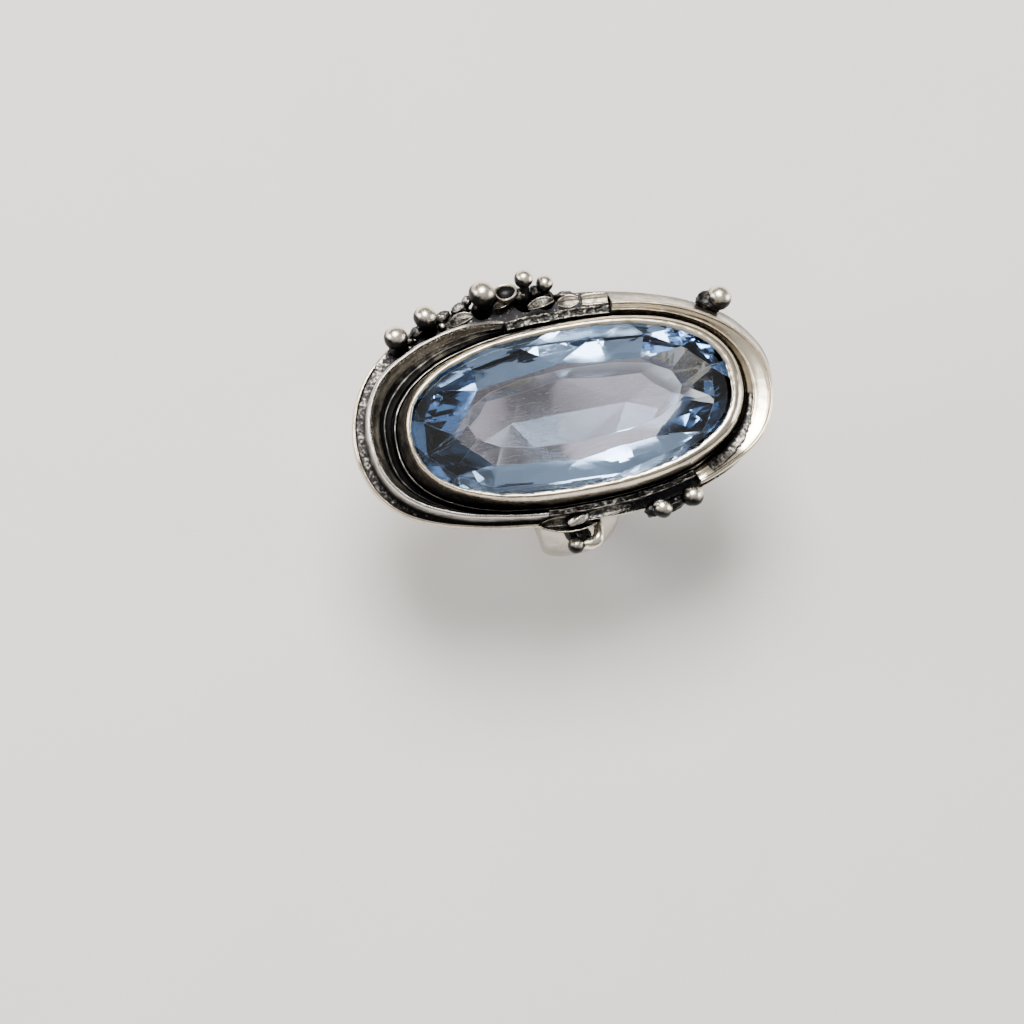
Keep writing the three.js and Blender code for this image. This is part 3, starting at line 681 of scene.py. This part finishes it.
def torn_profile(degrees):
    """A thin torn sheet over the right collar's dish, its outer edge ragged."""
    rim = smooth(RIGHT_RIM, degrees)
    inner = dish_inner(degrees)
    ragged = 0.06 * waver((degrees / 2.4, 0.3, 0.1), 1.0, 2.0)
    ragged += 0.04 * waver((degrees * 1.1, 5.0, 0.1), 1.0, 4.0)
    edge = max(0.12, smooth(TORN_EDGE, degrees) + ragged)
    rise = right_rise(degrees)
    dish = RIGHT_DISH
    points = []
    shares = [0.04, 0.04 + (edge - 0.04) * 0.35, 0.04 + (edge - 0.04) * 0.7, edge]

    def height(share):
        if share < 0.3:
            return mix(dish[0], dish[1], share / 0.3) * rise
        return mix(dish[1], dish[2], (share - 0.3) / 0.32) * rise

    for s in shares:
        points.append((mix(inner, rim, s), height(s) + 0.1, 0.0))
    for s, shine, up in zip(reversed(shares), (0.6, 0.34, 0.3, 0.12), (0.16, 0.26, 0.3, 0.22)):
        lump = 0.07 * waver((degrees / 2.0, 6 * s, 0.4), 1.0, 8.0)
        points.append((mix(inner, rim, s), height(s) + 0.1 + up + lump, shine))
    return points


def build_collars():
    sweep("left_collar_skin", left_profile, blackened, ["left_collar"],
          span=LEFT_SPAN, step=0.5, texture=0.03)
    sweep("right_collar_skin", right_profile, flange_silver, ["right_collar"],
          span=RIGHT_SPAN, step=0.5, texture=0.02)
    sweep("torn_sheet", torn_profile, worn, ["torn_overlay"], span=TORN_SPAN, step=0.2,
          texture=0.06, rounds=1)


def build_border():
    """A thin wire along the plate's left edge, its top rubbed bright."""
    path, radius, shine = [], [], []
    low, high = 148, 257
    for i in range(260):
        d = mix(low, high, i / 259)
        p = spot(d, plate_edge(d) - 0.24, 0.18)
        path.append(p)
        fade = ease(low, low + 4, d) * (1 - ease(high - 4, high, d))
        radius.append(0.17 * mix(0.5, 1, fade) * (1 + 0.14 * waver(p, 1.3, 5.0)))
        shine.append(0.85 + 0.3 * waver(p, 1.7, 2.0))
    tube("border", path, radius, polished, ["border_wire"], sides=14, shine=shine)


def build_strips():
    def strip(top, width):
        def profile(degrees):
            inner = dish_inner(degrees)
            points = [(inner + 0.02, 0, 0.0), (inner + width, 0, 0.0), (inner + width, top - 0.7, 0.1)]
            for share in (0.97, 0.82, 0.66, 0.5, 0.34, 0.18, 0.04):
                p = around(degrees, 1 + 1.6 * share).to_3d()
                bump = 0.16 * waver(p, 0.5, 3.0) + 0.1 * waver(p, 0.28, 5.0)
                ledge = 0.12 if 0.3 < share < 0.7 else 0.0
                points.append((inner + share * width, top - 0.2 - ledge + bump, 0.5 + 2.6 * bump - 2 * ledge))
            points.append((inner + 0.02, top - 0.7, 0.0))
            return points
        return profile

    sweep("rear_strip", strip(2.3, STRIP_WIDTHS[0]), worn, ["rear_rib_strip"],
          span=(72.2, 101.5), step=0.15, rounds=1, texture=0.03)
    sweep("front_strip", strip(2.0, STRIP_WIDTHS[1]), worn, ["front_rib_strip"],
          span=(259.6, 307), step=0.15, rounds=1, texture=0.03)


# ---- Balls, leaves and the cup ----
def bent(start, bend, end, t):
    return (1 - t) ** 2 * start + 2 * t * (1 - t) * bend + t * t * end


def build_ball_wire(name, node, foot, ball, radius, wire=0.4, down=False):
    """A wire with a solder fillet at its foot and its end melted into a ball."""
    start, centre = spot(*foot), spot(*ball)
    if down:
        start.z = PLATE_UNDER
    bend = Vector((start.x, start.y, start.z - 1.2 if down else mix(start.z, centre.z, 0.55)))
    path, sizes, shine = [], [], []
    marks = [bent(start, bend, centre, i / 40) for i in range(41)]
    length = sum((b - a).length for a, b in zip(marks, marks[1:]))
    way = (centre - bend).normalized()
    neck = max(0.2, 1 - 0.9 * radius / length)
    for i in range(18):
        t = i / 17 * neck
        path.append(bent(start, bend, centre, t))
        flare = 0.5 * math.exp(-t * length / 0.45)
        sizes.append(wire + flare)
        shine.append(mix(0.05, 0.45, i / 17))
    for i in range(26):
        turn = mix(math.radians(-62), math.radians(88), i / 25)
        p = centre + radius * math.sin(turn) * way
        if (p - path[-1]).dot(way) <= 0.005:
            continue
        path.append(p)
        sizes.append(radius * math.cos(turn))
        shine.append(1.0)
    piece = tube(name, path, sizes, ball_silver, [node], sides=36, shine=shine,
                 texture=0.05, seed=radius * 7)
    paint_ball_light_and_shade(piece, centre, radius)
    return piece


def paint_ball_light_and_shade(piece, centre, radius):
    """A ball is bright on top, leaning towards the light, and black underneath: partly rubbing where cloth
    and glove reach and black patina, partly painted light and shade.
    """
    layer = piece.data.attributes["polish"]
    # The bright side leans to the rear and right, towards the light: a painted highlight, with painted shade
    # on the far side.
    rubbed = Vector((0.28, 0.5, 0.82))
    for vert, item in zip(piece.data.vertices, layer.data):
        facing = (vert.co / MM - centre).dot(rubbed) / radius
        item.value = item.value * ease(0.05, 0.85, facing)


def build_granule(name, node, degrees, out, radius):
    """A ball of metal melted on to the plate."""
    foot = spot(degrees, out, 0)
    up = Vector((0, 0, 1))
    lift = 0.937 * radius
    path, sizes, shine = [], [], []
    for i in range(34):
        turn = mix(-math.acos(0.42), math.radians(88), i / 33)
        path.append(foot + (lift + radius * math.sin(turn)) * up)
        r = radius * math.cos(turn)
        sizes.append(r + 0.22 * radius * math.exp(-(i / 33) * 12))
        shine.append(1.0)
    piece = tube(name, path, sizes, ball_silver, [node], sides=36, shine=shine,
                 texture=0.1 * radius, seed=radius * 5 + degrees)
    paint_ball_light_and_shade(piece, foot + lift * up, radius)


def build_leaf(name, node, root, tip, width, material, slot, cup=0.2, arch=0.3, roll=0.0, square=False):
    """A cupped leaf of sheet with a fine raised edge, from root to tip."""
    start, end = spot(*root), spot(*tip)
    along = (end - start).normalized()
    side = Vector((0, 0, 1)).cross(along).normalized()
    side = Quaternion(along, math.radians(roll)) @ side
    up = along.cross(side)
    rings, polish = [], []
    steps, across = 44, 16
    for i in range(steps + 1):
        t = i / steps
        if square:
            half = 0.5 * width * mix(0.86, 1.0, ease(0, 0.15, t)) * mix(1.0, 0.9, ease(0.85, 1, t))
        else:
            half = 0.5 * width * (0.1 + 0.9 * math.sin(math.pi * min(1, t * 0.94 + 0.04)) ** 0.75)
        lift = arch * math.sin(math.pi * t)
        ring, values = [], []
        for k in range(across + 1):
            x = mix(-1, 1, k / across)
            edge = ease(0.72, 1.0, abs(x))
            z = lift + cup * x * x + 0.05 * edge - 0.04 * math.exp(-(x / 0.12) ** 2)
            ring.append((x, z, mix(0.4, 1.0, edge)))
        for k in range(across + 1):
            x = mix(0.92, -0.92, k / across)
            ring.append((x, lift + cup * x * x - LEAF_THICKNESS, 0.1))
        points = []
        for x, z, shine in ring:
            p = start.lerp(end, t) + x * half * side + z * up
            p += 0.025 * waver(p, 0.6, 4.0) * up
            points.append(p)
            values.append(shine)
        rings.append(points)
        polish.append(values)
    skin(name, rings, polish, material, [node] if node else ())


def build_lump(name, place, sizes, material=None, lean=0.0, shine=0.5):
    """An uneven blob of melted solder. sizes are its half-length, half-width and half-height."""
    centre = spot(*place)
    way = Quaternion(Vector((0, 0, 1)), math.radians(lean))
    rings, polish = [], []
    for i in range(1, 22):
        tilt = math.pi * i / 22
        ring, values = [], []
        for k in range(32):
            a = 2 * math.pi * k / 32
            unit = Vector((math.sin(tilt) * math.cos(a), math.sin(tilt) * math.sin(a), math.cos(tilt)))
            swell = 1 + 0.2 * waver(2.2 * unit + centre, 1.0, 3.0) + 0.1 * waver(6 * unit + centre, 1.0, 5.0)
            p = centre + way @ Vector([swell * c * u for c, u in zip(sizes, unit)])
            ring.append(p)
            values.append(shine * ease(-0.1, 0.9, unit.z))
        rings.append(ring)
        polish.append(values)
    skin(name, rings, polish, material or blackened)


def build_hook():
    """A thick wire that comes from under the plate, turns down and curls back under itself."""
    points = [
        spot(272.5, 1.75, 0), spot(272.5, 1.9, -1.35), spot(272.4, 2.9, -1.0), spot(271.6, 3.75, -0.75),
        spot(270.2, 3.95, -1.1), spot(269.0, 3.85, -1.6),
    ]
    points[0].z = PLATE_UNDER
    widths = [0.42, 0.42, 0.44, 0.52, 0.56, 0.44]
    path, sizes, shine = [], [], []
    spans = len(points) - 1
    for i in range(spans * 12 + 1):
        k, t = min(spans - 1, i // 12), i / 12 - min(spans - 1, i // 12)
        near = [points[max(0, k - 1)], points[k], points[k + 1], points[min(spans, k + 2)]]
        a, b, c, d = near
        square, cube = 2 * a - 5 * b + 4 * c - d, 3 * b - a - 3 * c + d
        path.append(0.5 * (2 * b + (c - a) * t + square * t * t + cube * t ** 3))
        sizes.append(mix(widths[k], widths[k + 1], t))
        shine.append(ease(0.8, 2.2, i / 12))
    tube("hook", path, sizes, ball_silver, ["front_ball_wire_2"], sides=32, shine=shine,
         texture=0.05, seed=4.0)


def build_cup():
    """A tiny bowl on a stem, tipped back, with an uneven rim."""
    outline = [
        (0.02, 0, 0), (0.36, 0, 0), (0.33, 0.25, 0.1), (0.34, 0.5, 0.2), (0.56, 0.62, 0.5), (0.78, 0.82, 0.6),
        (0.93, 1.13, 0.8), (1.0, 1.46, 1.0), (0.95, 1.55, 1.0), (0.84, 1.5, 1.0), (0.76, 1.26, 0.1),
        (0.6, 1.04, 0.0), (0.33, 0.9, 0.0), (0.02, 0.86, 0.0),
    ]
    fine = []
    for (r0, z0, s0), (r1, z1, s1) in zip(outline, outline[1:]):
        for k in range(3):
            t = k / 3
            fine.append((mix(r0, r1, t), mix(z0, z1, t), mix(s0, s1, t)))
    fine.append(outline[-1])
    turn = Matrix.Rotation(math.radians(-36), 4, "X") @ Matrix.Rotation(math.radians(-6), 4, "Y")
    place = Matrix.Translation(spot(98.3, 3.6, 0.32)) @ turn
    rings, polish = [], []
    for r, z, shine in fine:
        ring = []
        for k in range(40):
            a = 2 * math.pi * k / 40
            uneven = 1 + 0.05 * math.sin(3 * a + 1) * ease(0.8, 1.5, z)
            ring.append(place @ Vector((r * uneven * math.cos(a), r * uneven * math.sin(a), z)))
        rings.append(ring)
        polish.append([shine] * 40)
    skin("blossom", rings, polish, worn, ["blossom_cup"])


def build_ornaments():
    rear = [
        ((137.5, 4.0, 0), (137.5, 4.72, 1.7), 1.02),
        ((125.5, 4.0, 0), (125.3, 4.78, 1.9), 1.0),
        ((106, 3.75, 0), (105.6, 4.75, 1.95), 1.15),
        ((93.5, 3.5, 0), (93.6, 5.1, 2.25), 0.8),
        ((89.2, 3.4, 0), (89.2, 4.5, 1.55), 0.74),
    ]
    for i, (foot, ball, radius) in enumerate(rear):
        build_ball_wire(f"rear_ball_{i + 1}", f"rear_ball_wire_{i + 1}", foot, ball, radius)
    shaded_front_ball = build_ball_wire("front_ball", "front_ball_wire_1", (265.3, 1.78, 0), (267.2, 3.9, -1.4), 0.72,
                           wire=0.46, down=True)
    # The front ball hangs under the plate and keeps only 0.6 of its polish: painted shade under the plate.
    for item in shaded_front_ball.data.attributes["polish"].data:
        item.value *= 0.6
    build_hook()
    for i, (place, sizes, lean) in enumerate([
        ((129.5, 4.15, 0.5), (0.75, 0.5, 0.75), 25),
        ((133.6, 3.95, 0.35), (0.5, 0.45, 0.5), 10),
        ((119, 4.35, 0.35), (0.7, 0.45, 0.5), 20),
        ((112.6, 4.35, 0.55), (0.8, 0.55, 0.8), 15),
        ((110, 4.75, 0.8), (0.55, 0.45, 0.6), 40),
        ((101.2, 4.1, 0.35), (0.6, 0.4, 0.6), 0),
        ((94.8, 4.05, 0.7), (0.8, 0.6, 1.15), 10),
        ((90.9, 4.05, 0.6), (0.65, 0.6, 1.0), -10),
        ((84.5, 3.45, 0.25), (0.8, 0.35, 0.5), 0),
    ]):
        build_lump(f"rear_lump_{i + 1}", place, sizes, lean=lean)
    build_lump("front_lump_1", (267.8, 2.0, 1.0), (1.05, 0.5, 0.45), worn, 15, 0.95)
    # These dark blobs beside the front granules, behind the hook and at the slope ball's foot are partly
    # blackened solder, partly painted shade filling the gaps there.
    build_lump("front_lump_4", (288.9, 2.7, 0.45), (0.8, 0.6, 0.75), lean=15, shine=0.2)
    build_lump("front_lump_5", (296.8, 2.85, 0.4), (0.95, 0.6, 0.75), lean=25, shine=0.25)
    build_lump("hook_lump", (269.2, 3.1, -1.5), (0.7, 0.75, 0.45), lean=10, shine=0.3)
    build_lump("slope_lump", (34.6, 3.85, 1.15), (1.2, 0.95, 0.95), lean=-20, shine=0.3)
    build_lump("front_lump_2", (290.6, 2.35, 0.9), (0.5, 0.42, 0.75), worn, 30, 0.8)
    build_lump("front_lump_3", (302.5, 2.5, 1.0), (0.5, 0.42, 0.75), worn, 30, 0.8)
    for name, degrees, out, radius in [
        ("front_granule_1", 291.4, 2.85, 0.88),
        ("front_granule_2", 303, 2.95, 0.95),
        ("seed_granule_1", 131.6, 3.8, 0.36),
        ("seed_granule_2", 134.8, 3.44, 0.3),
        ("seed_granule_3", 120.5, 3.6, 0.38),
    ]:
        build_granule(name.replace("granule", "drop"), name, degrees, out, radius * 0.97)
    centre = spot(32.5, 4.42, 1.6)
    way = around(32.5, 1) - around(32.5, 0)
    slope = Vector((way.x, way.y, 0.8)).normalized()
    radius = 1.08
    path, sizes = [], []
    for i in range(34):
        turn = mix(-math.radians(80), math.radians(88), i / 33)
        path.append(centre + radius * math.sin(turn) * slope)
        sizes.append(radius * math.cos(turn))
    ball = tube("slope_ball", path, sizes, ball_silver, ["slope_granule"], sides=36,
                texture=0.03)
    paint_ball_light_and_shade(ball, centre, radius)

    for i, (node, root, tip, width, material, slot, shape) in enumerate([
        ("rear_leaf_1", (118.5, 3.3, 0.7), (110.3, 3.3, 1.5), 1.1, worn, "worn_silver",
         {"cup": 0.18, "roll": -20}),
        ("rear_leaf_2", (93.6, 2.72, 1.3), (88, 2.95, 1.8), 0.9, worn, "worn_silver",
         {"cup": 0.12, "roll": -12}),
        ("rear_leaf_3", (87.2, 2.62, 1.7), (81.3, 2.55, 2.15), 1.1, polished, "polished_silver",
         {"cup": 0.05, "arch": 0.12}),
        ("rear_leaf_4", (80.6, 2.5, 2.0), (72.6, 2.48, 2.25), 0.95, polished, "polished_silver",
         {"cup": 0.05, "arch": 0.1, "square": True}),
        ("front_leaf", (257.5, 2.15, 0.4), (271.5, 2.5, 0.5), 1.5, ball_silver, "worn_silver",
         {"cup": 0.48, "arch": -0.05, "roll": -10}),
        (None, (267.5, 2.0, 0.85), (282, 1.85, 0.75), 0.8, worn, "worn_silver",
         {"cup": 0.05, "arch": 0.1}),
        (None, (103, 3.5, 1.0), (97.3, 3.75, 1.25), 0.65, polished, "polished_silver",
         {"cup": 0.08, "arch": 0.12}),
    ]):
        build_leaf(f"leaf_{i + 1}", node, root, tip, width, material, slot, **shape)
    build_cup()


# ---- Scene ----
FLOOR_HALF = 1500


def build_stage():
    floor_z = -(HOLE_RADIUS + BAND_THICKNESS)
    mesh = bpy.data.meshes.new("floor")
    half = FLOOR_HALF
    corners = [(-half, -half), (half, -half), (half, half), (-half, half)]
    mesh.from_pydata([(MM * x, MM * y, MM * floor_z) for x, y in corners], [], [(0, 1, 2, 3)])
    floor = bpy.data.objects.new("floor", mesh)
    bpy.context.scene.collection.objects.link(floor)
    material = bpy.data.materials.new("pale_floor")
    material.use_nodes = True
    nodes, links = material.node_tree.nodes, material.node_tree.links
    shader = nodes["Principled BSDF"]
    shader.inputs["Roughness"].default_value = 0.75
    speckle = add_node(nodes, "ShaderNodeTexNoise", in_Scale=60.0, in_Detail=3.0)
    place = add_node(nodes, "ShaderNodeTexCoord")
    links.new(place.outputs["Object"], speckle.inputs["Vector"])
    tint = add_node(nodes, "ShaderNodeMix", data_type="RGBA")
    tint.inputs["A"].default_value = (0.82, 0.79, 0.765, 1)
    tint.inputs["B"].default_value = (0.86, 0.83, 0.805, 1)
    links.new(speckle.outputs["Fac"], tint.inputs["Factor"])
    links.new(tint.outputs["Result"], shader.inputs["Base Color"])
    mesh.materials.append(material)


def build_light(name, place, size, power, colour):
    """A square softbox that faces the ring. place is in millimetres from the hole's centre."""
    data = bpy.data.lights.new(name, "AREA")
    data.shape = "SQUARE"
    data.size = size * MM
    data.energy = power
    data.color = colour
    lamp = bpy.data.objects.new(name, data)
    lamp.location = MM * Vector(place)
    lamp.rotation_euler = (Vector((0, 0, 12)) - Vector(place)).to_track_quat("-Z", "Y").to_euler()
    bpy.context.scene.collection.objects.link(lamp)


def build_lights():
    build_light("key", (-23, 262, 506), 260, 6.0, (1.0, 0.97, 0.92))
    build_light("left", (-460, 150, 190), 240, 2.2, (1.0, 0.97, 0.92))
    build_light("fill", (420, -80, 110), 200, 0.9, (0.96, 0.98, 1.0))
    world = bpy.data.worlds.new("studio")
    world.use_nodes = True
    nodes, links = world.node_tree.nodes, world.node_tree.links
    back = nodes["Background"]
    place = add_node(nodes, "ShaderNodeTexCoord")
    split = add_node(nodes, "ShaderNodeSeparateXYZ")
    links.new(place.outputs["Generated"], split.inputs["Vector"])
    ramp = add_node(nodes, "ShaderNodeValToRGB")
    ramp.color_ramp.elements[0].position = 0.0
    ramp.color_ramp.elements[0].color = (0.13, 0.127, 0.12, 1)
    ramp.color_ramp.elements[1].position = 1.0
    ramp.color_ramp.elements[1].color = (0.90, 0.89, 0.87, 1)
    links.new(split.outputs["Z"], ramp.inputs["Fac"])
    links.new(ramp.outputs["Color"], back.inputs["Color"])
    back.inputs["Strength"].default_value = 0.62
    bpy.context.scene.world = world


# ---- Camera ----
CAMERA_WAY = Vector((-0.171, -0.147, 1.0)).normalized()  # from the stone towards the camera
CAMERA_ROLL = math.radians(10.65)  # the stone's long axis rises this much to the right
CAMERA_DISTANCE = 300.0
LENS = 125.7
SENSOR = 36.0
RIGHT_OF_MIDDLE = 0.0591  # where the stone's centre sits, as shares of the picture's width
ABOVE_MIDDLE = 0.1017


def build_camera():
    target = Vector((0, 0, PLATE_TOP + 4.6))
    along = Vector((1, 0, 0))
    flat = (along - along.dot(CAMERA_WAY) * CAMERA_WAY).normalized()
    right = Quaternion(CAMERA_WAY, -CAMERA_ROLL) @ flat
    up = CAMERA_WAY.cross(right)
    facing = Matrix((right, up, CAMERA_WAY)).transposed().to_quaternion()
    off_axis = Vector((RIGHT_OF_MIDDLE * SENSOR, ABOVE_MIDDLE * SENSOR, -LENS)).normalized()
    aim = Vector((0, 0, -1)).rotation_difference(off_axis)
    data = bpy.data.cameras.new("camera")
    data.lens = LENS
    data.sensor_width = SENSOR
    data.clip_start = 0.01
    data.clip_end = 10
    camera = bpy.data.objects.new("camera", data)
    camera.rotation_mode = "QUATERNION"
    camera.rotation_quaternion = facing @ aim.inverted()
    camera.location = MM * (target + CAMERA_DISTANCE * CAMERA_WAY)
    bpy.context.scene.collection.objects.link(camera)
    bpy.context.scene.camera = camera


def dress_stone():
    """The CAD stone's facets are exact, so it stays and takes the glass."""
    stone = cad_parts["stone"]
    stone.data.materials.clear()
    stone.data.materials.append(gem)


build_camera()
build_stage()
build_lights()
build_band()
build_plate()
build_setting()
build_collars()
build_border()
build_strips()
build_ornaments()
dress_stone()
